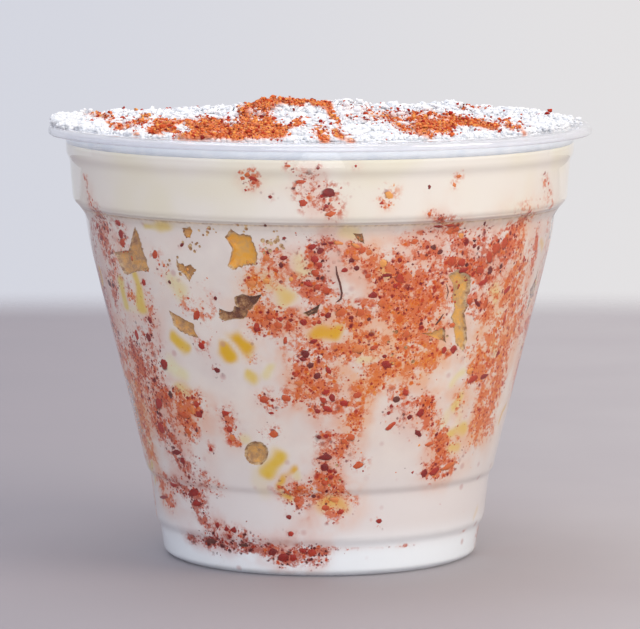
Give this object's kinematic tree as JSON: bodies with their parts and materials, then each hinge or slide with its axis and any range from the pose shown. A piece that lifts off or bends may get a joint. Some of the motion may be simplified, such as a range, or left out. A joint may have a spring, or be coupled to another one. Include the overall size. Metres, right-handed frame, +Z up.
{
  "type": "esquites in a plastic cup",
  "caption": "Corn kernels in cream with ground chile, under plain cream and a heap of grated cheese, in a clear squat plastic cup with a rolled rim.",
  "frame": {"origin": "centre of the cup's underside, on the surface that it stands on", "axes": "+Z up along the cup's axis, -Y towards the side with the most chile, +X to the right of that side"},
  "size_m": [0.092, 0.092, 0.0772],
  "materials": {
    "clear_plastic": "clear thin plastic with a high gloss",
    "corn_in_cream": "smooth wet cream with yellow kernels and red-orange chile",
    "cream": "smooth wet cream",
    "cheese": "dry crumbly grated cheese dusted with chile"
  },
  "bodies": {
    "root": {"cup": "clear_plastic", "corn_in_cream": "corn_in_cream", "cream_layer": "cream", "grated_cheese": "cheese"}
  },
  "joints": []
}
